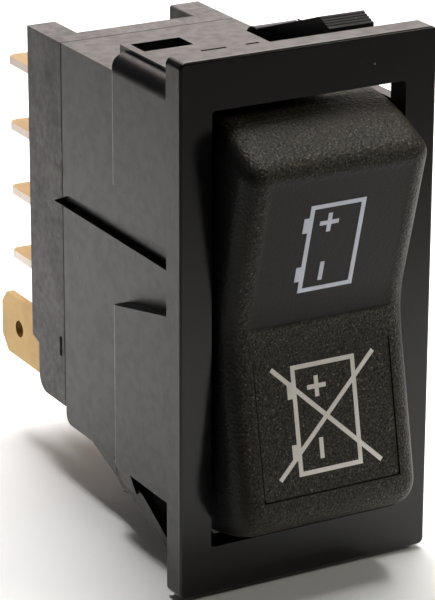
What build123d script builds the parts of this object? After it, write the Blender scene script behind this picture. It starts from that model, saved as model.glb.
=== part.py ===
"""Momentary battery switch: a snap-in panel rocker with a 50 x 26 mm bezel and two sprung poles.

Frame: millimetres. X is to the right and Z is up as the user faces the bezel, and Y runs from the
user into the panel. The origin is the centre of the bezel's rear face, which lies on the panel, so
the bezel is at negative Y and the body stands behind the panel at positive Y.
The body is the same when it is turned half a turn about Y.
"""

from build123d import *
from math import atan2, cos, degrees, hypot, radians, sin
import os

os.makedirs("parts", exist_ok=True)

# ---- driving dimensions ----
bezel_width = 25.9
bezel_height = 50.0
bezel_thickness = 2.5
window_width = 19.6
window_height = 40.8
body_width = 21.9
body_height = 43.8
collar_depth = 1.5
body_depth = 15.4
pad_depth = 14.2
rear_width = 18.6
rear_height = 38.2
rear_end = 27.3
base_end = 34.5
wall = 1.1

# Rocker: two flat halves that meet in a shallow V, with end faces on arcs about the pivot.
pivot_depth = 2.4
pivot_pin_radius = 1.1
running_gap = 0.08
vertex_depth = -4.34
vertex_height = 0.4
upper_slope = 14.9
lower_slope = 11.1
rocker_width = 18.7
upper_end_radius = 19.5
lower_end_radius = 20.3
rocker_wall = 1.4
skirt_depth = 2.5
waist_depth = -1.1
skirt_start = 10.8

# Snap-in latches: one at the upper right and, half a turn round, one at the lower left.
latch_gap_start = 2.95
latch_inner = 4.6
latch_outer = 9.2
knuckle_depth = 15.5
knuckle_height = 20.25
knuckle_radius = 1.45
knuckle_gap = 0.07
ramp_foot = (22.3, 19.1)
latch_crest = (3.85, 25.4)
latch_floor = 18.2

# Contacts: two poles, each with a see-saw lever on a knife edge.
pole_offset = 4.2
row_pitch = 6.7
blade_width = 6.3
blade_thickness = 0.8
blade_end = 43.1
plug_start = 24.0
lever_front = 18.0
lever_thickness = 0.8
knife_centre = 19.25
plunger_radius = 1.25
plunger_tip = 17.95
tube_radius = 2.0
tube_end = 11.0
lamp_row = 2 * row_pitch
return_blade_offset = 8.0
return_blade_height = -13.6
return_blade_end = 43.3


# ---- helpers that draw into the part being built ----
def facing(depth):
    """A plane parallel to the panel. Its sketch x is X, its sketch y is Z, and its normal is -Y."""
    return Plane.XZ.offset(-depth)


def block(x, y, z, mode=Mode.ADD):
    """A box between two values of x, two of y and two of z, each pair in either order."""
    with BuildSketch(facing(min(y))) as outline:
        with Locations((sum(x) / 2, sum(z) / 2)):
            Rectangle(abs(x[1] - x[0]), abs(z[1] - z[0]))
    extrude(outline.sketch, amount=-abs(y[1] - y[0]), mode=mode)


def rounded_block(width, height, radius, y, mode=Mode.ADD):
    """A centred box with rounded corners in the front view."""
    with BuildSketch(facing(min(y))) as outline:
        RectangleRounded(width, height, radius)
    extrude(outline.sketch, amount=-abs(y[1] - y[0]), mode=mode)


def side_prism(points, x, mode=Mode.ADD):
    """A side-view outline of (y, z) points, carried from one x to the other."""
    with BuildSketch(Plane.YZ.offset(min(x))) as outline:
        with BuildLine():
            Polyline(*points, close=True)
        make_face()
    extrude(outline.sketch, amount=abs(x[1] - x[0]), mode=mode)


def rod_along_x(depth, height, radius, x, mode=Mode.ADD):
    """A cylinder whose axis is parallel to X."""
    with BuildSketch(Plane.YZ.offset(min(x))) as outline:
        with Locations((depth, height)):
            Circle(radius)
    extrude(outline.sketch, amount=abs(x[1] - x[0]), mode=mode)


def rod_along_y(x, height, radius, y, mode=Mode.ADD):
    """A cylinder whose axis is parallel to Y."""
    with BuildSketch(facing(min(y))) as outline:
        with Locations((x, height)):
            Circle(radius)
    extrude(outline.sketch, amount=-abs(y[1] - y[0]), mode=mode)


def turned(points, turn):
    """Side-view points of the upper right feature, or of its twin half a turn round."""
    return [(y, turn * z) for y, z in points]


def spread(limits, factor):
    """A pair of limits, each multiplied by a factor."""
    return (factor * limits[0], factor * limits[1])


def write(piece, name):
    piece.part.label = name
    export_step(piece.part, f"parts/{name}.step")


ramp_rise = (latch_crest[1] - ramp_foot[1]) / (ramp_foot[0] - latch_crest[0])


def ramp_height(depth):
    """Height of the sloping outer surface that runs from the rear body up to a latch's crest."""
    return ramp_foot[1] + ramp_rise * (ramp_foot[0] - depth)


# ---- housing: bezel, body and rear body in one moulding ----
half_body = body_height / 2
half_rear = rear_height / 2
side_face = rear_width / 2
pad_face = body_width / 2
pad_top = half_body - 0.35
upper_pad = [(0, pad_top), (pad_depth, pad_top), (pad_depth, 9.4), (0, 7.85)]
lower_pad = [(0, 0.7), (pad_depth, -2.35), (pad_depth, -latch_floor), (0, -latch_floor)]
pad_root = side_face - 0.3
shelf_depth = 0.9
cavity_half_height = 21.15
front_cavity_end = 14.2
skirt_pocket_start = 9.7
skirt_pocket_depth = 6.6
rear_cavity = (8.0, 18.0)
inner_side = side_face - wall
groove = [(collar_depth, 3.0), (collar_depth, 5.3), (rear_end - 1.0, 4.4), (rear_end + 2.0, 3.1)]
groove_depth = 0.85

with BuildPart() as body:
    block((-pad_face, pad_face), (0, collar_depth), (-pad_top, pad_top))
    block((-side_face, side_face), (0, body_depth), (-pad_top, pad_top))
    for side in (-1, 1):
        for outline in (upper_pad, lower_pad):
            side_prism(turned(outline, -side), (side * pad_root, side * pad_face))
    pad_rear_edges = (
        body.edges()
        .filter_by(Axis.Z)
        .filter_by(lambda edge: edge.center().Y > pad_depth - 0.1 and abs(edge.center().X) > pad_face - 0.1)
    )
    fillet(pad_rear_edges, 0.5)
    rounded_block(body_width, 2 * pad_top, 1.7, (0, body_depth), mode=Mode.INTERSECT)
    block((-side_face, side_face), (0, body_depth), (-half_body, half_body))


def latch_guard(turn):
    """A tapered wall beside the root of a latch, with one round corner, that continues the pad."""
    foot = 10.55
    crown = 21.0
    outline = [(11.9, latch_floor - 0.2), (15.0, latch_floor - 0.2), (15.0, crown), (12.4, crown)]
    outside = [
        (foot, latch_floor),
        (side_face + 0.2, crown + 0.1),
        (foot + 1, crown + 0.1),
        (foot + 1, latch_floor),
    ]
    with BuildPart() as guard:
        side_prism(turned(outline, turn), spread((side_face, foot), turn))
        long_edges = guard.edges().filter_by(Axis.X)
        crown_edges = long_edges.group_by(lambda edge: round(abs(edge.center().Z), 2))[-1]
        fillet(crown_edges.sort_by(Axis.Y)[-1], 1.2)
        with BuildSketch(facing(11.0)) as taper:
            with BuildLine():
                Polyline(*[(turn * across, turn * height) for across, height in outside], close=True)
            make_face()
        extrude(taper.sketch, amount=-5.0, mode=Mode.SUBTRACT)
    return guard.part


guards = {turn: latch_guard(turn) for turn in (-1, 1)}

with BuildPart() as housing:
    rounded_block(bezel_width, bezel_height, 0.6, (-bezel_thickness, 0))
    fillet(housing.faces().sort_by(Axis.Y)[0].outer_wire().edges(), 0.22)
    add(body.part)
    block((-side_face, side_face), (body_depth, rear_end), (-half_rear, half_rear))
    lower_rear_edge = housing.edges().filter_by(Axis.X).group_by(Axis.Y)[-1].sort_by(Axis.Z)[0]
    fillet(lower_rear_edge, 1.0)

    # Each latch's ramp starts on the rear body and carries the socket of the latch's knuckle.
    for turn in (-1, 1):
        ramp_x = spread((latch_gap_start, latch_outer), turn)
        plate_end = body_depth + 0.1
        above_ramp = [
            (14.0, ramp_height(14.0)),
            (plate_end, ramp_height(plate_end)),
            (plate_end, half_body + 1),
            (14.0, half_body + 1),
        ]
        side_prism(turned(above_ramp, turn), ramp_x, mode=Mode.SUBTRACT)
        ramp = [
            (14.0, latch_floor),
            (14.0, ramp_height(14.0)),
            (ramp_foot[0], ramp_foot[1]),
            (ramp_foot[0], latch_floor),
        ]
        side_prism(turned(ramp, turn), ramp_x)

    # Openings for the rocker, with a shelf between the side pads and deeper pockets at both ends.
    rounded_block(window_width, window_height, 0.3, (-bezel_thickness, 0.1), mode=Mode.SUBTRACT)
    window_half = window_width / 2
    block(
        (-window_half, window_half),
        (0, shelf_depth),
        (-cavity_half_height, cavity_half_height),
        mode=Mode.SUBTRACT,
    )
    block(
        (-inner_side, inner_side),
        (shelf_depth, front_cavity_end),
        (-cavity_half_height, cavity_half_height),
        mode=Mode.SUBTRACT,
    )
    for turn in (-1, 1):
        block(
            (-window_half, window_half),
            (shelf_depth, skirt_pocket_depth),
            spread((skirt_pocket_start, cavity_half_height), turn),
            mode=Mode.SUBTRACT,
        )
    block(
        (-rear_cavity[0], rear_cavity[0]),
        (front_cavity_end, rear_end),
        (-rear_cavity[1], rear_cavity[1]),
        mode=Mode.SUBTRACT,
    )

    for turn in (-1, 1):
        # Latch opening: the corner of the body behind the bezel.
        block(
            spread((latch_gap_start, pad_face + 0.1), turn),
            (0, 14.8),
            spread((latch_floor, half_body + 1), turn),
            mode=Mode.SUBTRACT,
        )
        rod_along_x(
            knuckle_depth,
            turn * knuckle_height,
            knuckle_radius + knuckle_gap,
            spread((latch_inner - 0.1, latch_outer + 0.1), turn),
            mode=Mode.SUBTRACT,
        )
        add(guards[turn])
        # Two shallow ejector slots in the flat end of the body.
        for slot_x in ((-4.0, -1.4), (0.6, 2.0)):
            block(
                spread(slot_x, turn),
                (9.8, 10.15),
                spread((half_body - 0.4, half_body + 0.1), turn),
                mode=Mode.SUBTRACT,
            )
        # Small window through the body's wall beside the other end of the same edge.
        block(
            spread((-8.5, -3.5), turn),
            (12.2, 14.9),
            spread((19.6, half_body + 1), turn),
            mode=Mode.SUBTRACT,
        )
        # Key groove along the recessed side, running out into the terminal base.
        side_prism(
            turned(groove, -turn),
            spread((side_face - groove_depth, side_face + 0.1), turn),
            mode=Mode.SUBTRACT,
        )
        rod_along_x(pivot_depth, 0, pivot_pin_radius, spread((7.9, 8.8), turn), mode=Mode.SUBTRACT)
write(housing, "housing")


# ---- snap-in latches ----
latch_tip = (2.1, 24.7)
# The rocker's lower end reaches further out, so the lower latch is the thinner one.
latch_back = {
    1: [(2.1, 23.6), (13.2, 19.5)],
    -1: [(2.4, 24.4), (4.2, 24.2), (6.6, 23.6), (13.2, 20.1)],
}
grip_count = 5


def build_latch(turn, name):
    """A tongue with a round knuckle at its root and ribs across its short gripping face."""
    x = spread((latch_inner, latch_outer), turn)
    with BuildPart() as latch:
        outline = [
            (knuckle_depth, knuckle_height + 0.6),
            (knuckle_depth - 0.9, ramp_height(knuckle_depth - 0.9)),
            latch_crest,
            latch_tip,
            *latch_back[turn],
            (knuckle_depth, knuckle_height - 1.2),
        ]
        side_prism(turned(outline, turn), x)
        rod_along_x(knuckle_depth, turn * knuckle_height, knuckle_radius, x)
        # Ribs: shallow slots across the face between the crest and the tip.
        run = (latch_tip[0] - latch_crest[0], latch_tip[1] - latch_crest[1])
        for step in range(1, grip_count):
            share = step / grip_count
            slot_depth = latch_crest[0] + share * run[0]
            slot_height = latch_crest[1] + share * run[1]
            rod_along_x(slot_depth, turn * slot_height, 0.1, x, mode=Mode.SUBTRACT)
    write(latch, name)


build_latch(1, "upper_latch")
build_latch(-1, "lower_latch")


# ---- brass terminals ----
def blade(x, height):
    """A flat 6.3 mm quick-connect tab that lies parallel to the X-Y plane."""
    tip_corner = 0.5
    half = blade_width / 2
    with BuildSketch(Plane.XY.offset(height - blade_thickness / 2)) as outline:
        with BuildLine():
            Polyline(
                (x - half, plug_start + 1.5),
                (x - half, blade_end - tip_corner),
                (x - half + tip_corner, blade_end),
                (x + half - tip_corner, blade_end),
                (x + half, blade_end - tip_corner),
                (x + half, plug_start + 1.5),
                close=True,
            )
        make_face()
        with Locations((x, blade_end - 3.9)):
            Circle(0.85, mode=Mode.SUBTRACT)
    extrude(outline.sketch, amount=blade_thickness)


def strip(x, height, y, half_width=1.5):
    """The narrower inner end of a terminal, in line with its blade."""
    half = blade_thickness / 2
    block((x - half_width, x + half_width), y, (height - half, height + half))


terminals = {}
for side, side_name in ((-1, "left"), (1, "right")):
    centre = side * pole_offset
    with BuildPart() as common:
        blade(centre, 0)
        strip(centre, 0, (knife_centre, plug_start + 1.5))
        rod_along_x(knife_centre, 0, blade_thickness / 2, (centre - 1.5, centre + 1.5))
    terminals[f"{side_name}_common_terminal"] = common

    for row, row_name in ((row_pitch, "upper"), (-row_pitch, "lower")):
        with BuildPart() as throw:
            blade(centre, row)
            strip(centre, row, (21.5, plug_start + 1.5))
            block((centre - 1.9, centre + 1.9), (21.0, 21.8), (row - 2.0, row + 2.0))
            rod_along_y(centre, row, 0.8, (20.9, 21.9), mode=Mode.SUBTRACT)
            strip(centre, row, (21.8, plug_start + 1.5))
        terminals[f"{side_name}_{row_name}_terminal"] = throw

    with BuildPart() as lamp_feed:
        blade(centre, lamp_row)
        strip(centre, lamp_row, (22.0, plug_start + 1.5), half_width=1.0)
    terminals[f"{side_name}_lamp_feed_terminal"] = lamp_feed

    # The lamp return stands on edge beside the column, and cranks inwards inside the base.
    blade_x = side * return_blade_offset
    crank_x = side * 5.4
    half_height = blade_width / 2
    with BuildPart() as lamp_return:
        with BuildSketch(Plane.YZ.offset(blade_x - blade_thickness / 2)) as outline:
            with BuildLine():
                Polyline(
                    (28.5, return_blade_height + half_height),
                    (return_blade_end - 1.1, return_blade_height + half_height),
                    (return_blade_end, return_blade_height + half_height - 1.3),
                    (return_blade_end, return_blade_height - half_height + 1.5),
                    (return_blade_end - 1.3, return_blade_height - half_height),
                    (28.5, return_blade_height - half_height),
                    close=True,
                )
            make_face()
            with Locations((return_blade_end - 3.9, return_blade_height)):
                Circle(0.85, mode=Mode.SUBTRACT)
        extrude(outline.sketch, amount=blade_thickness)
        crank_height = (return_blade_height - 1.0, return_blade_height + 2.0)
        block((crank_x, blade_x), (28.5, 29.3), crank_height)
        block((crank_x - 0.4, crank_x + 0.4), (22.5, 29.3), crank_height)
    terminals[f"{side_name}_lamp_return_terminal"] = lamp_return

for name, terminal in terminals.items():
    write(terminal, name)


# ---- terminal base, moulded round the terminals ----
base_floor = -17.5
step_height = -12.3
ear_inner = 6.15
recess_start = 30.4

with BuildPart() as terminal_base:
    side_outline = [
        (rear_end, half_rear),
        (base_end, half_rear),
        (base_end, step_height),
        (base_end - 1.4, step_height - 0.4),
        (base_end - 1.4, base_floor),
        (rear_end, base_floor),
    ]
    side_prism(side_outline, (-side_face, side_face))
    lower_edges = terminal_base.edges().filter_by(Axis.X)
    fillet(lower_edges.group_by(Axis.Z)[0].sort_by(Axis.Y)[-1], 1.6)
    seam_edges = terminal_base.faces().sort_by(Axis.Y)[0].edges()
    chamfer(seam_edges.filter_by(lambda edge: edge.center().Z > base_floor + 0.1), 0.22)
    block(
        (-ear_inner, ear_inner),
        (recess_start, base_end + 0.1),
        (16.6, half_rear + 0.1),
        mode=Mode.SUBTRACT,
    )
    ear_tops = terminal_base.edges().filter_by(Axis.Y).group_by(Axis.Z)[-1]
    fillet(ear_tops.filter_by(lambda edge: abs(abs(edge.center().X) - ear_inner) < 0.1), 0.25)
    recess_edge = terminal_base.edges().filter_by(Axis.X).filter_by(
        lambda edge: abs(edge.center().Y - recess_start) < 0.1 and edge.center().Z > half_rear - 0.1
    )
    chamfer(recess_edge, 0.5)
    block(
        (-rear_cavity[0] + 0.05, rear_cavity[0] - 0.05),
        (plug_start, rear_end),
        (-rear_cavity[1] + 0.05, rear_cavity[1] - 0.05),
    )
    for turn in (-1, 1):
        side_prism(
            turned(groove, -turn),
            spread((side_face - groove_depth, side_face + 0.1), turn),
            mode=Mode.SUBTRACT,
        )
        # Notch for the assembly clip, low on each side.
        block(
            spread((side_face - 0.5, side_face + 0.1), turn),
            (rear_end + 0.7, rear_end + 1.2),
            (-12.5, -10.5),
            mode=Mode.SUBTRACT,
        )
    for terminal in terminals.values():
        add(terminal.part, mode=Mode.SUBTRACT)
write(terminal_base, "terminal_base")


# ---- rocker ----
def slope_depth(height, offset=0.0):
    """Depth of the rocker's front surface at a height, offset backwards through its wall."""
    if height >= vertex_height:
        rise = sin(radians(upper_slope)) / cos(radians(upper_slope))
    else:
        rise = sin(radians(lower_slope)) / cos(radians(lower_slope))
    return vertex_depth + offset - abs(height - vertex_height) * rise


def end_depth(height, radius):
    """Depth of a point on the front side of an end arc about the pivot."""
    return pivot_depth - (radius**2 - height**2) ** 0.5


def corner_height(direction, offset, radius):
    """Height at which the sloping front meets the end arc, found by halving."""
    low, high = vertex_height, direction * radius
    for _ in range(40):
        middle = (low + high) / 2
        if slope_depth(middle, offset) < end_depth(middle, radius):
            high = middle
        else:
            low = middle
    return low


def rocker_prism(half, offset, skirt, waist, mode=Mode.ADD):
    """The rocker's side view, inset by an offset and carried from -half to +half in X."""
    start = skirt_start
    radii = {1: upper_end_radius - offset, -1: lower_end_radius - offset}

    def on_arc(end, share):
        radius = radii[end]
        corner = corner_height(end, offset, radius)
        angle_front = atan2(corner, slope_depth(corner, offset) - pivot_depth)
        skirt_height = end * (radius**2 - (pivot_depth - skirt) ** 2) ** 0.5
        angle_rear = atan2(skirt_height, skirt - pivot_depth)
        angle = angle_front + share * (angle_rear - angle_front)
        return (pivot_depth + radius * cos(angle), radius * sin(angle))

    vertex = (slope_depth(vertex_height, offset), vertex_height)
    if waist < skirt:
        rear = [(skirt, start), (waist, start), (waist, -start), (skirt, -start)]
    else:
        rear = []
    with BuildSketch(Plane.YZ.offset(-half)) as outline:
        with BuildLine():
            Line(vertex, on_arc(1, 0))
            ThreePointArc(on_arc(1, 0), on_arc(1, 0.5), on_arc(1, 1))
            Polyline(on_arc(1, 1), *rear, on_arc(-1, 1))
            ThreePointArc(on_arc(-1, 1), on_arc(-1, 0.5), on_arc(-1, 0))
            Line(on_arc(-1, 0), vertex)
        make_face()
    extrude(outline.sketch, amount=2 * half, mode=mode)


vertex_point = (0, vertex_depth, vertex_height)
upper_face = Plane(
    origin=vertex_point,
    x_dir=(1, 0, 0),
    z_dir=(0, -cos(radians(upper_slope)), -sin(radians(upper_slope))),
)
lower_face = Plane(
    origin=vertex_point,
    x_dir=(1, 0, 0),
    z_dir=(0, -cos(radians(lower_slope)), sin(radians(lower_slope))),
)

# Signs: a battery standing on end with its posts to the left, crossed out on the lower half.
sign_line = 0.42
upper_sign = (0, 7.73)
lower_sign = (0, -8.8)
inlay_depth = 0.25


def battery_sign(width, height, crossed):
    """A battery outline with posts, plus and minus, in the sketch being drawn."""
    Rectangle(width, height)
    Rectangle(width - 2 * sign_line, height - 2 * sign_line, mode=Mode.SUBTRACT)
    post = 0.28 * height
    with Locations((-(width + sign_line) / 2, post), (-(width + sign_line) / 2, -post)):
        Rectangle(1.4 * sign_line, 1.5)
    with Locations((-0.12 * width, post)):
        Rectangle(1.9, sign_line)
        Rectangle(sign_line, 1.9)
    with Locations((-0.12 * width, -post)):
        Rectangle(sign_line, 1.9)
    if crossed:
        reach = (10.5, 10.1)
        tilt = degrees(atan2(reach[1], reach[0]))
        for angle in (tilt, -tilt):
            Rectangle(hypot(*reach), sign_line, rotation=angle)


label_width = 13.9
label_height = 12.95
label_centre = (0, -9.06)
label_thickness = 1.0
label_gap = 0.12

with BuildPart() as rocker_cap:
    half_width = rocker_width / 2
    rocker_prism(half_width, 0, skirt_depth, waist_depth)
    vertex_edge = rocker_cap.edges().filter_by(Axis.X).sort_by(
        lambda edge: hypot(edge.center().Y - vertex_depth, edge.center().Z - vertex_height)
    )[0]
    fillet(vertex_edge, 12.0)
    corner_edges = rocker_cap.edges().filter_by(Axis.X).filter_by(
        lambda edge: edge.center().Y < vertex_depth - 2.0
    )
    upper_corner, lower_corner = corner_edges.sort_by(Axis.Z, reverse=True)
    fillet(upper_corner, 1.8)
    fillet(lower_corner, 2.8)
    side_edges = rocker_cap.edges().filter_by(
        lambda edge: abs(abs(edge.center().X) - half_width) < 0.01
        and abs(abs(edge.bounding_box().size.X)) < 0.01
        and edge.center().Y < waist_depth - 0.3
    )
    fillet(side_edges, 2.1)
    hollow_half = half_width - rocker_wall + 0.1
    hollow_end = skirt_depth + 0.5
    rocker_prism(hollow_half, rocker_wall, hollow_end, hollow_end, mode=Mode.SUBTRACT)

    # Pivot ears and the two plunger tubes.
    ear_root = -3.9
    for side in (-1, 1):
        with BuildSketch(Plane.YZ.offset(min(side * 6.5, side * 7.9))) as ear:
            with BuildLine():
                Polyline(
                    (ear_root, -3.8),
                    (ear_root, 3.8),
                    (pivot_depth, 2.4),
                    (pivot_depth, -2.4),
                    close=True,
                )
            make_face()
            with Locations((pivot_depth, 0)):
                Circle(2.4)
        extrude(ear.sketch, amount=1.4)
        pin_bore = pivot_pin_radius + running_gap
        rod_along_x(pivot_depth, 0, pin_bore, (side * 6.4, side * 8.0), mode=Mode.SUBTRACT)
        tube_x = side * pole_offset
        rod_along_y(tube_x, 0, tube_radius, (-3.6, tube_end))
        rod_along_y(tube_x, 0, plunger_radius + 0.07, (-2.2, tube_end + 0.1), mode=Mode.SUBTRACT)

    with BuildSketch(lower_face) as label_pocket:
        with Locations(label_centre):
            Rectangle(label_width + 2 * label_gap, label_height + 2 * label_gap)
    extrude(label_pocket.sketch, amount=-label_thickness, mode=Mode.SUBTRACT)
    with BuildSketch(upper_face) as sign_pocket:
        with Locations(upper_sign):
            battery_sign(5.56, 9.0, crossed=False)
    extrude(sign_pocket.sketch, amount=-inlay_depth, mode=Mode.SUBTRACT)
write(rocker_cap, "rocker_cap")

with BuildPart() as upper_symbol:
    with BuildSketch(upper_face.offset(-inlay_depth)) as outline:
        with Locations(upper_sign):
            battery_sign(5.56, 9.0, crossed=False)
    extrude(outline.sketch, amount=inlay_depth + 0.04)
write(upper_symbol, "upper_symbol")

label_recess = 0.06
print_depth = 0.1
with BuildPart() as label_plate:
    with BuildSketch(lower_face.offset(-label_thickness)) as outline:
        with Locations(label_centre):
            RectangleRounded(label_width, label_height, 0.25)
    extrude(outline.sketch, amount=label_thickness - label_recess)
    with BuildSketch(lower_face.offset(-label_recess)) as print_outline:
        with Locations(lower_sign):
            battery_sign(6.6, 10.1, crossed=True)
    extrude(print_outline.sketch, amount=-print_depth, mode=Mode.SUBTRACT)
write(label_plate, "label_plate")

with BuildPart() as lower_symbol:
    with BuildSketch(lower_face.offset(-label_recess - print_depth)) as outline:
        with Locations(lower_sign):
            battery_sign(6.6, 10.1, crossed=True)
    extrude(outline.sketch, amount=print_depth + 0.02)
write(lower_symbol, "lower_symbol")

# Clear light guide behind the upper sign, bonded to the inside of the cap.
with BuildPart() as light_guide:
    guide_low = 3.6
    guide_high = 12.2
    guide_outline = [
        (slope_depth(guide_low, rocker_wall), guide_low),
        (slope_depth(guide_high, rocker_wall), guide_high),
        (1.5, guide_high - 1.5),
        (1.5, guide_low),
    ]
    side_prism(guide_outline, (-3.4, 3.4))
write(light_guide, "light_guide")


# ---- pivot, plungers and their springs ----
with BuildPart() as pivot_pins:
    for side in (-1, 1):
        rod_along_x(pivot_depth, 0, pivot_pin_radius, (side * 6.3, side * 8.8))
write(pivot_pins, "pivot_pins")

spring_start = -2.15
spring_end = 3.0
plunger_start = 3.05
for side, side_name in ((-1, "left"), (1, "right")):
    centre = side * pole_offset
    with BuildPart() as plunger:
        rod_along_y(centre, 0, plunger_radius, (plunger_start, plunger_tip))
        fillet(plunger.faces().sort_by(Axis.Y)[-1].edges(), plunger_radius - 0.15)
    write(plunger, f"{side_name}_plunger")

    wire = 0.15
    coil_radius = 1.0
    with BuildPart() as spring:
        with BuildLine() as coil:
            Helix(
                pitch=0.86,
                height=spring_end - spring_start - 2 * wire,
                radius=coil_radius,
                center=(centre, spring_start + wire, 0),
                direction=(0, 1, 0),
            )
        with BuildSketch(Plane(origin=coil.line @ 0, z_dir=coil.line % 0)) as section:
            Circle(wire)
        sweep(section.sketch, path=coil.line)
    write(spring, f"{side_name}_plunger_spring")


# ---- see-saw contact levers and their contacts ----
lever_rear = lever_front + lever_thickness
rivet_shank = 0.8


def rivet(x, height, face, direction, head_radius=1.5):
    """A contact rivet: a shallow dome on one face of the strip, a shank and a closing head."""
    dome_height = 0.6
    rod_along_y(x, height, head_radius, (face, face + direction * dome_height))
    rod_along_y(x, height, rivet_shank, (face, face - direction * lever_thickness))


for side, side_name in ((-1, "left"), (1, "right")):
    centre = side * pole_offset
    with BuildPart() as lever:
        with BuildSketch(facing(lever_front)) as outline:
            with Locations((centre, 0)):
                RectangleRounded(4.4, 16.4, 1.6)
            with Locations((centre, row_pitch), (centre, -row_pitch)):
                Circle(rivet_shank, mode=Mode.SUBTRACT)
        extrude(outline.sketch, amount=-lever_thickness)
        for flange in (-1, 1):
            flange_x = (centre + flange * 1.7, centre + flange * 2.2)
            block(flange_x, (lever_rear, lever_rear + 1.5), (-1.4, 1.4))
    write(lever, f"{side_name}_contact_lever")

    with BuildPart() as moving_contacts:
        for height in (-row_pitch, row_pitch):
            rivet(centre, height, lever_rear, 1)
            rod_along_y(centre, height, 1.1, (lever_front - 0.3, lever_front))
        rear_rims = moving_contacts.faces().filter_by(Axis.Y).group_by(Axis.Y)[-1].edges()
        fillet(rear_rims, 0.45)
    write(moving_contacts, f"{side_name}_moving_contacts")

    with BuildPart() as fixed_contacts:
        for height in (-row_pitch, row_pitch):
            rivet(centre, height, 21.0, -1)
        front_rims = fixed_contacts.faces().filter_by(Axis.Y).group_by(Axis.Y)[0].edges()
        fillet(front_rims, 0.45)
    write(fixed_contacts, f"{side_name}_fixed_contacts")


# ---- indicator lamp on its board ----
lamp_height = 11.0
lead_radius = 0.25
lead_offset = 1.27
board_front = 22.2
board_rear = 23.0
spacer_front = 12.0

with BuildPart() as lamp_board:
    block((-6.6, 6.6), (board_front, board_rear), (9.3, 15.6))
    for side in (-1, 1):
        lead_hole = (board_front, board_rear)
        rod_along_y(side * lead_offset, lamp_height, lead_radius, lead_hole, mode=Mode.SUBTRACT)
    for name in ("left_lamp_feed_terminal", "right_lamp_feed_terminal"):
        add(terminals[name].part, mode=Mode.SUBTRACT)
write(lamp_board, "lamp_board")

with BuildPart() as lamp_spacer:
    rod_along_y(0, lamp_height, 2.3, (spacer_front, board_front))
    for side in (-1, 1):
        lead_hole = (spacer_front, board_front)
        rod_along_y(side * lead_offset, lamp_height, lead_radius, lead_hole, mode=Mode.SUBTRACT)
write(lamp_spacer, "lamp_spacer")

with BuildPart() as indicator_lamp:
    rod_along_y(0, lamp_height, 1.9, (spacer_front - 1.0, spacer_front))
    rod_along_y(0, lamp_height, 1.5, (spacer_front - 4.9, spacer_front - 1.0))
    fillet(indicator_lamp.faces().sort_by(Axis.Y)[0].edges(), 1.35)
write(indicator_lamp, "indicator_lamp")

with BuildPart() as lamp_leads:
    for side in (-1, 1):
        rod_along_y(side * lead_offset, lamp_height, lead_radius, (spacer_front, board_rear + 0.4))
write(lamp_leads, "lamp_leads")

with BuildPart() as lamp_resistor:
    block((3.4, 6.0), (board_front - 0.6, board_front), (10.0, 11.4))
write(lamp_resistor, "lamp_resistor")
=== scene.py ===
import math

import bmesh
import bpy
from mathutils import Matrix, Vector


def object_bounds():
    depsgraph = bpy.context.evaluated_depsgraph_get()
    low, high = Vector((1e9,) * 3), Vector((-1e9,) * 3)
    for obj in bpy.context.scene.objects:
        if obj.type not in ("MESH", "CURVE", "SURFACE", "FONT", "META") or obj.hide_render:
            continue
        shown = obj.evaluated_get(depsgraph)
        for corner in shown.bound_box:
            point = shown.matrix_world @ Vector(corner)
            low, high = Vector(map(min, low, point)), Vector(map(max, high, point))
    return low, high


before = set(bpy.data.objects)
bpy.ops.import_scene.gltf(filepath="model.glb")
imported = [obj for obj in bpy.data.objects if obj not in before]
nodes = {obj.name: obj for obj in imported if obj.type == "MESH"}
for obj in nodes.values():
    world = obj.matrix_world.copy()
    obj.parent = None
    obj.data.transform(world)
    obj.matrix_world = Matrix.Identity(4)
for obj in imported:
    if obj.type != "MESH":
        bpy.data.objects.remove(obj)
cad_low, cad_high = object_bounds()
MM = 0.001


# ---- camera ----
SENSOR_WIDTH_MM = 36.0
FOCAL_LENGTH_MM = 188.26
CAMERA_PLACE_MM = (-135.167, -226.354, 97.819)
CAMERA_AZIMUTH, CAMERA_ELEVATION, CAMERA_ROLL = -29.362, 20.227, -0.178


def aim(azimuth, elevation, roll):
    """Camera axes for an azimuth round the object, an elevation and a roll, in degrees."""
    a, e, r = (math.radians(v) for v in (azimuth, elevation, roll))
    back = Vector((math.sin(a) * math.cos(e), -math.cos(a) * math.cos(e), math.sin(e)))
    right = Vector((0, 0, 1)).cross(back).normalized()
    up = back.cross(right)
    turned_right = right * math.cos(r) - up * math.sin(r)
    turned_up = up * math.cos(r) + right * math.sin(r)
    return Matrix((turned_right, turned_up, back)).transposed()


camera_data = bpy.data.cameras.new("camera")
camera_data.sensor_width = SENSOR_WIDTH_MM
camera_data.lens = FOCAL_LENGTH_MM
camera_data.clip_start = 0.01
camera_data.clip_end = 20.0
camera = bpy.data.objects.new("camera", camera_data)
bpy.context.scene.collection.objects.link(camera)
camera_place = Matrix.Translation(Vector(CAMERA_PLACE_MM) * MM)
camera_axes = aim(CAMERA_AZIMUTH, CAMERA_ELEVATION, CAMERA_ROLL)
camera.matrix_world = camera_place @ camera_axes.to_4x4()
bpy.context.scene.camera = camera
bpy.context.scene.view_settings.view_transform = "Standard"
bpy.context.scene.view_settings.look = "None"


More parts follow.
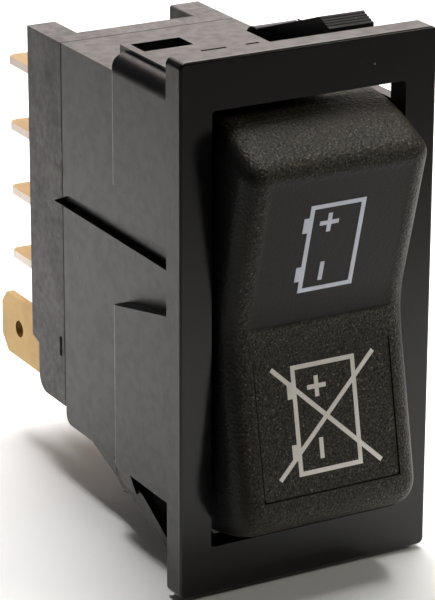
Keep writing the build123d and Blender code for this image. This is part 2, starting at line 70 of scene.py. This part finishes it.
# ---- node helpers ----
class Tree:
    """A short way to write one material's node tree."""

    def __init__(self, name):
        self.material = bpy.data.materials.new(name)
        self.material.use_nodes = True
        self.nodes = self.material.node_tree.nodes
        self.links = self.material.node_tree.links
        self.nodes.clear()
        self.output = self.nodes.new("ShaderNodeOutputMaterial")
        self.shader = self.nodes.new("ShaderNodeBsdfPrincipled")
        self.links.new(self.shader.outputs[0], self.output.inputs["Surface"])
        self.where = self.nodes.new("ShaderNodeTexCoord").outputs["Object"]

    def add(self, kind, inputs=None, **settings):
        node = self.nodes.new("ShaderNode" + kind)
        for key, value in settings.items():
            setattr(node, key, value)
        for key, value in (inputs or {}).items():
            self.put(node.inputs[key], value)
        return node

    def put(self, socket, value):
        if isinstance(value, bpy.types.NodeSocket):
            self.links.new(value, socket)
        else:
            socket.default_value = value

    def noise(self, scale, detail=2.0, rough=0.5, where=None):
        inputs = {"Scale": scale, "Detail": detail, "Roughness": rough}
        inputs["Vector"] = where or self.where
        return self.add("TexNoise", inputs).outputs["Fac"]

    def cells(self, scale):
        """Distance to the nearest cell centre."""
        inputs = {"Vector": self.where, "Scale": scale}
        return self.add("TexVoronoi", inputs).outputs["Distance"]

    def ramp(self, value, low, high, out_low=0.0, out_high=1.0, smooth=True):
        """Carry value from the range low..high to out_low..out_high."""
        inputs = {
            "Value": value,
            "From Min": low,
            "From Max": high,
            "To Min": out_low,
            "To Max": out_high,
        }
        kind = "SMOOTHSTEP" if smooth else "LINEAR"
        return self.add("MapRange", inputs, interpolation_type=kind).outputs["Result"]

    def math(self, operation, a, b=0.0):
        node = self.add("Math", operation=operation)
        self.put(node.inputs[0], a)
        self.put(node.inputs[1], b)
        return node.outputs[0]

    def mix(self, share, a, b):
        """Blend two colours: a where share is 0, b where it is 1."""
        node = self.add("Mix", data_type="RGBA")
        self.put(node.inputs[0], share)
        self.put(node.inputs[6], a)
        self.put(node.inputs[7], b)
        return node.outputs[2]

    def axis(self, name):
        """The place along one axis, in metres."""
        return self.add("SeparateXYZ", {0: self.where}).outputs[name]

    def facing(self, name):
        """How squarely the surface faces along one axis, from 0 to 1."""
        normal = self.add("NewGeometry").outputs["Normal"]
        return self.math("ABSOLUTE", self.add("SeparateXYZ", {0: normal}).outputs[name])

    def bump(self, height, distance, strength=1.0, below=None):
        node = self.add("Bump", {"Height": height, "Distance": distance, "Strength": strength})
        if below is not None:
            self.put(node.inputs["Normal"], below)
        return node.outputs["Normal"]

    def set(self, **values):
        names = {
            "colour": "Base Color",
            "roughness": "Roughness",
            "metallic": "Metallic",
            "normal": "Normal",
            "ior": "IOR",
            "specular": "Specular IOR Level",
            "transmission": "Transmission Weight",
        }
        for key, value in values.items():
            self.put(self.shader.inputs[names[key]], value)
        return self.material


def rgb(r, g, b):
    return (r, g, b, 1.0)


def dust(t, scale, size, cover):
    """Sparse small specks: the centres of a few cells, chosen by a slower noise."""
    speck = t.ramp(t.cells(scale), size, size * 0.6)
    chosen = t.ramp(t.noise(scale * 0.31, 0.0), cover, cover + 0.02)
    return t.math("MULTIPLY", speck, chosen)


# ---- materials ----
def housing_plastic():
    t = Tree("housing_plastic")
    front = t.ramp(t.axis("Y"), -1.8 * MM, -2.4 * MM)  # the bezel's front face is at -2.5 mm
    cloud = t.noise(90.0, 3.0)
    fine = t.noise(900.0, 3.0)
    grain = t.noise(5200.0, 2.0)
    colour = t.mix(cloud, rgb(0.0034, 0.0029, 0.0032), rgb(0.0064, 0.0054, 0.0058))
    specks = dust(t, 330.0, 0.045, 0.63)
    colour = t.mix(t.math("MULTIPLY", specks, 0.5), colour, rgb(0.32, 0.30, 0.27))
    side_rough = t.ramp(fine, 0.3, 0.7, 0.28, 0.38)
    front_rough = t.ramp(fine, 0.3, 0.7, 0.14, 0.20)
    rough = t.add("Mix", {0: front, 2: side_rough, 3: front_rough}, data_type="FLOAT").outputs[0]
    height = t.math("MULTIPLY", grain, t.ramp(front, 0.0, 1.0, 1.0, 0.12))
    normal = t.bump(height, 0.000012, 0.5, t.bump(cloud, 0.00012, 0.35))
    return t.set(colour=colour, roughness=rough, normal=normal, specular=0.4)


def base_plastic():
    t = Tree("base_plastic")
    cloud = t.noise(160.0, 5.0, 0.6)
    fine = t.noise(1400.0, 3.0)
    grain = t.noise(4200.0, 3.0)
    colour = t.mix(t.ramp(cloud, 0.32, 0.68), rgb(0.036, 0.031, 0.030), rgb(0.098, 0.086, 0.083))
    rough = t.ramp(fine, 0.3, 0.7, 0.42, 0.6)
    normal = t.bump(grain, 0.00003, 0.6, t.bump(cloud, 0.0001, 0.5))
    return t.set(colour=colour, roughness=rough, normal=normal, ior=1.5)


def rocker_plastic(smooth_upper):
    """Spark-eroded texture. The rocker's upper front face is smoother and browner than the rest."""
    t = Tree("rocker_plastic" if smooth_upper else "label_plastic")
    grain = t.noise(3600.0, 2.5, 0.75)
    pits = t.cells(3100.0)
    cloud = t.noise(140.0, 3.0)
    speckle = t.ramp(t.noise(4600.0, 1.5, 0.7), 0.36, 0.70)
    height = t.math("ADD", grain, t.math("MULTIPLY", pits, 0.5))
    coarse_colour = t.mix(speckle, rgb(0.0070, 0.0062, 0.0044), rgb(0.0500, 0.0440, 0.0310))
    # Sparse pale specks painted into the colour: painted glints of light on the grain.
    painted_glints = t.ramp(t.noise(5200.0, 1.0), 0.66, 0.72)
    coarse_colour = t.mix(t.math("MULTIPLY", painted_glints, 0.7), coarse_colour, rgb(0.20, 0.18, 0.13))
    if smooth_upper:
        x = t.math("ABSOLUTE", t.axis("X"))
        z = t.axis("Z")
        across = t.ramp(x, 8.0 * MM, 6.8 * MM)
        above = t.ramp(z, 0.2 * MM, 0.8 * MM)
        below = t.ramp(z, 15.8 * MM, 14.4 * MM)
        inside = t.math("MULTIPLY", t.math("MULTIPLY", across, above), below)
        # The sides are finer than the front, so the rounding shows as a soft band of light. Their
        # colour is also painted darker than the front: painted shade on the sides that face along
        # X.
        side = t.ramp(t.facing("X"), 0.35, 0.75)
        smooth_colour = t.mix(cloud, rgb(0.0040, 0.0030, 0.0028), rgb(0.0062, 0.0048, 0.0045))
        painted_side_shade = t.mix(cloud, rgb(0.0025, 0.0023, 0.0022), rgb(0.0045, 0.0041, 0.0039))
        colour = t.mix(inside, coarse_colour, smooth_colour)
        colour = t.mix(side, colour, painted_side_shade)
        fine = t.math("MAXIMUM", inside, t.math("MULTIPLY", side, 0.6))
        height = t.math("MULTIPLY", height, t.ramp(fine, 0.0, 1.0, 1.0, 0.2, smooth=False))
        rough = t.ramp(fine, 0.0, 1.0, 0.48, 0.42, smooth=False)
    else:
        colour = coarse_colour
        rough = t.ramp(cloud, 0.3, 0.7, 0.44, 0.52)
    normal = t.bump(height, 0.00013, 1.0)
    return t.set(colour=colour, roughness=rough, normal=normal, specular=0.22)


def print_ink(name, colour_a, colour_b, rough, scale):
    t = Tree(name)
    patch = t.noise(scale, 3.0)
    colour = t.mix(patch, rgb(*colour_a), rgb(*colour_b))
    normal = t.bump(t.noise(4500.0, 2.0), 0.00003, 0.6)
    rough_patch = t.ramp(patch, 0.3, 0.7, rough, rough + 0.15)
    return t.set(colour=colour, roughness=rough_patch, normal=normal)


def brass(name, highlight_axis=None):
    """Drawn brass strip. The sheared edges, which face along the given axis, are painted paler: a
    painted highlight.
    """
    t = Tree(name)
    along = t.add("Mapping", {"Vector": t.where, "Scale": (1.0, 0.08, 1.0)}).outputs[0]
    drawn = t.noise(5200.0, 3.0, where=along)
    stain = t.noise(260.0, 4.0, 0.6)
    spots = t.noise(1500.0, 3.0)
    colour = t.mix(t.ramp(stain, 0.35, 0.7), rgb(0.39, 0.25, 0.085), rgb(0.335, 0.21, 0.07))
    colour = t.mix(t.ramp(spots, 0.62, 0.75, 0.0, 0.15), colour, rgb(0.27, 0.17, 0.06))
    if highlight_axis:
        # Painted highlight: the faces along the given axis get a paler colour.
        painted_edge_highlight = t.ramp(t.facing(highlight_axis), 0.55, 0.8)
        colour = t.mix(painted_edge_highlight, colour, t.mix(spots, rgb(0.62, 0.55, 0.50), rgb(0.50, 0.42, 0.35)))
    rough = t.ramp(drawn, 0.3, 0.7, 0.30, 0.38)
    normal = t.bump(drawn, 0.000005, 0.25)
    return t.set(colour=colour, roughness=rough, metallic=1.0, normal=normal)


def steel(name, tint):
    t = Tree(name)
    fine = t.noise(3500.0, 3.0)
    darker = [v * 0.85 for v in tint]
    colour = t.mix(t.noise(500.0, 2.0), rgb(*tint), rgb(*darker))
    rough = t.ramp(fine, 0.3, 0.7, 0.2, 0.36)
    normal = t.bump(fine, 0.00001, 0.4)
    return t.set(colour=colour, roughness=rough, metallic=1.0, normal=normal)


def moulded(name, a, b, rough):
    t = Tree(name)
    cloud = t.noise(300.0, 3.0)
    fine = t.noise(3000.0, 2.0)
    return t.set(
        colour=t.mix(cloud, rgb(*a), rgb(*b)),
        roughness=t.ramp(fine, 0.3, 0.7, rough, rough + 0.12),
        normal=t.bump(fine, 0.00001, 0.4),
    )


def clear(name):
    t = Tree(name)
    cloud = t.noise(300.0, 3.0)
    return t.set(
        colour=t.mix(cloud, rgb(0.86, 0.90, 0.93), rgb(0.78, 0.84, 0.88)),
        roughness=t.ramp(cloud, 0.3, 0.7, 0.06, 0.14),
        transmission=0.8,
    )


housing_material = housing_plastic()
brass_material = brass("terminal_brass")
blade_material = brass("blade_brass", "X")
silver_material = steel("contact_silver", (0.86, 0.85, 0.82))
spring_material = steel("spring_wire", (0.60, 0.60, 0.62))
white_material = moulded("white_plastic", (0.74, 0.73, 0.69), (0.80, 0.79, 0.76), 0.4)
clear_material = clear("clear_plastic")
pin_material = moulded("pin_plastic", (0.02, 0.02, 0.02), (0.03, 0.03, 0.03), 0.35)
board_material = moulded("board_lacquer", (0.05, 0.16, 0.07), (0.07, 0.20, 0.09), 0.3)
resistor_material = moulded("resistor_ceramic", (0.03, 0.03, 0.03), (0.05, 0.05, 0.05), 0.5)
lens_material = print_ink("lens_print", (0.56, 0.60, 0.70), (0.70, 0.74, 0.84), 0.35, 900.0)
ink_material = print_ink("grey_print", (0.70, 0.66, 0.61), (0.84, 0.80, 0.75), 0.55, 1200.0)

finish = {
    "housing": housing_material,
    "upper_latch": housing_material,
    "lower_latch": housing_material,
    "terminal_base": base_plastic(),
    "rocker_cap": rocker_plastic(True),
    "label_plate": rocker_plastic(False),
    "upper_symbol": lens_material,
    "lower_symbol": ink_material,
    "light_guide": clear_material,
    "indicator_lamp": clear_material,
    "pivot_pins": pin_material,
    "lamp_board": board_material,
    "lamp_spacer": white_material,
    "lamp_leads": silver_material,
    "lamp_resistor": resistor_material,
}
for side in ("left", "right"):
    finish[f"{side}_plunger"] = white_material
    finish[f"{side}_plunger_spring"] = spring_material
    finish[f"{side}_contact_lever"] = brass_material
    finish[f"{side}_moving_contacts"] = silver_material
    finish[f"{side}_fixed_contacts"] = silver_material
    finish[f"{side}_lamp_return_terminal"] = brass_material
    for row in ("common", "upper", "lower", "lamp_feed"):
        finish[f"{side}_{row}_terminal"] = blade_material

for name, node in nodes.items():
    node.data.materials.clear()
    node.data.materials.append(finish[name])


# ---- studio ----
FLOOR_LEVEL = cad_low.z - 0.1 * MM
FLOOR_HALF_WIDTH = 1.6
FLOOR_FRONT = -1.2
FLAT_TO = 0.5  # the shading is flat up to here
BEND_FROM = 0.9
BEND_RADIUS = 0.5
BEND_STEPS = 8
BACKDROP_TOP = 1.6


def add_floor():
    """A pale floor that curves up into a backdrop well behind the object."""
    mesh = bpy.data.meshes.new("floor")
    shape = bmesh.new()
    profile = [(FLOOR_FRONT, 0.0), (FLAT_TO, 0.0), (BEND_FROM, 0.0)]
    for step in range(1, BEND_STEPS + 1):
        angle = math.radians(90 * step / BEND_STEPS)
        y = BEND_FROM + BEND_RADIUS * math.sin(angle)
        z = BEND_RADIUS - BEND_RADIUS * math.cos(angle)
        profile.append((y, z))
    profile.append((BEND_FROM + BEND_RADIUS, BACKDROP_TOP))
    rows = [
        [shape.verts.new((x, y, FLOOR_LEVEL + z)) for x in (-FLOOR_HALF_WIDTH, FLOOR_HALF_WIDTH)]
        for y, z in profile
    ]
    for near, far in zip(rows, rows[1:]):
        shape.faces.new((near[0], near[1], far[1], far[0]))
    for face in shape.faces:
        face.smooth = True
    shape.to_mesh(mesh)
    shape.free()
    floor = bpy.data.objects.new("floor", mesh)
    bpy.context.scene.collection.objects.link(floor)
    t = Tree("floor_paper")
    patch = t.noise(6.0, 2.0)
    t.set(
        colour=t.mix(patch, rgb(0.86, 0.86, 0.855), rgb(0.88, 0.88, 0.875)),
        roughness=0.9,
        specular=0.1,
    )
    mesh.materials.append(t.material)


add_floor()


def softbox(name, place, target, size, power, colour, spread=180.0):
    """A rectangular area light that the camera doesn't see. The power is in watts."""
    data = bpy.data.lights.new(name, "AREA")
    data.shape = "RECTANGLE"
    data.size, data.size_y = size
    data.energy = power
    data.color = colour
    data.spread = math.radians(spread)
    lamp = bpy.data.objects.new(name, data)
    bpy.context.scene.collection.objects.link(lamp)
    lamp.location = place
    way = Vector(target) - Vector(place)
    lamp.rotation_mode = "QUATERNION"
    lamp.rotation_quaternion = way.to_track_quat("-Z", "Y")
    lamp.visible_camera = False


softbox(
    "overhead",
    place=(0.05, 0.12, 0.33),
    target=(0.05, 0.1201, 0.0),
    size=(0.22, 0.20),
    power=0.47,
    colour=(1.0, 0.98, 0.975),
    spread=60.0,
)
softbox(
    "back",
    place=(0.20, 0.42, 0.20),
    target=(0.0, 0.0, 0.0),
    size=(0.40, 0.30),
    power=0.72,
    colour=(1.0, 0.90, 0.85),
)
softbox(
    "right",
    place=(0.34, -0.30, 0.30),
    target=(0.0, 0.0, 0.0),
    size=(0.16, 0.16),
    power=0.09,
    colour=(1.0, 0.97, 0.88),
    spread=60.0,
)
# A small pool of light on the floor, to the right of the object.
softbox(
    "floor",
    place=(0.11, -0.02, 0.30),
    target=(0.075, -0.01, 0.0),
    size=(0.10, 0.10),
    power=0.03,
    colour=(1.0, 0.98, 0.96),
    spread=22.0,
)

# The world is darker in front, so that the glossy front of the switch stays dark.
DARK_FROM, BRIGHT_TO = -0.7, 0.5
DARK_STRENGTH, BRIGHT_STRENGTH = 0.02, 0.12

world = bpy.data.worlds.new("studio")
bpy.context.scene.world = world
world.use_nodes = True
world_nodes = world.node_tree.nodes
world_links = world.node_tree.links
background = world_nodes["Background"]
background.inputs["Color"].default_value = (1.0, 1.0, 1.0, 1.0)
direction = world_nodes.new("ShaderNodeSeparateXYZ")
world_where = world_nodes.new("ShaderNodeTexCoord").outputs["Generated"]
world_links.new(world_where, direction.inputs[0])
front_to_back = world_nodes.new("ShaderNodeMapRange")
front_to_back.inputs["From Min"].default_value = DARK_FROM
front_to_back.inputs["From Max"].default_value = BRIGHT_TO
front_to_back.inputs["To Min"].default_value = DARK_STRENGTH
front_to_back.inputs["To Max"].default_value = BRIGHT_STRENGTH
world_links.new(direction.outputs["Y"], front_to_back.inputs["Value"])
world_links.new(front_to_back.outputs["Result"], background.inputs["Strength"])
